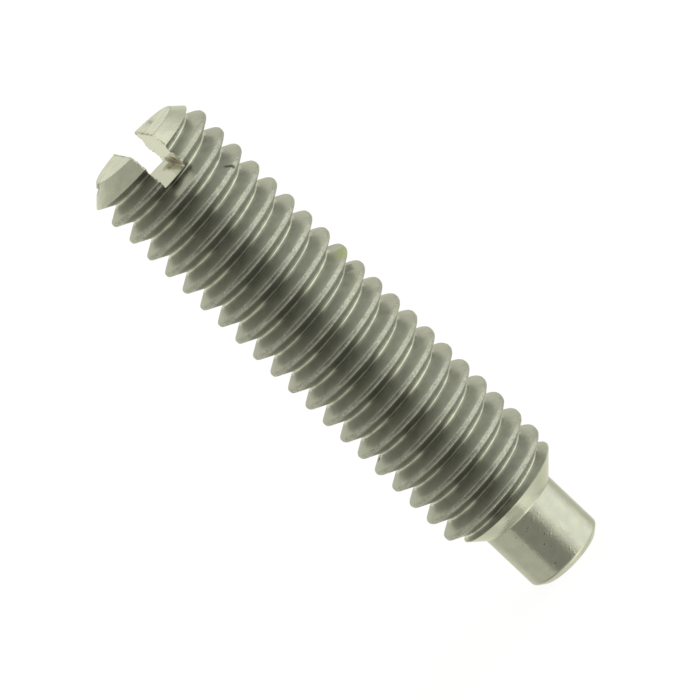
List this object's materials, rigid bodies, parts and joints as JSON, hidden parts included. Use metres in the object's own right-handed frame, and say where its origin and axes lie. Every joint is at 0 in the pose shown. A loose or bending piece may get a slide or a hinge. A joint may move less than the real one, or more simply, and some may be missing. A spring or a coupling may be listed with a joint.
{
  "type": "slotted grub set screw",
  "caption": "Headless slotted set screw with a long dog point: a threaded steel rod with a screwdriver slot across one end and a plain cylindrical locating point at the other.",
  "frame": {"origin": "middle of the dog point's flat end face, which the screw stands on", "axes": "+Z along the screw's axis, from the dog point to the slotted end; the screwdriver slot runs along Y"},
  "size_m": [0.0058, 0.0058, 0.025],
  "materials": {
    "satin_steel": "satin machined steel with a faint warm tint, brighter on the turned point and the chamfers"
  },
  "bodies": {
    "root": {"set_screw": "satin_steel"}
  },
  "joints": []
}
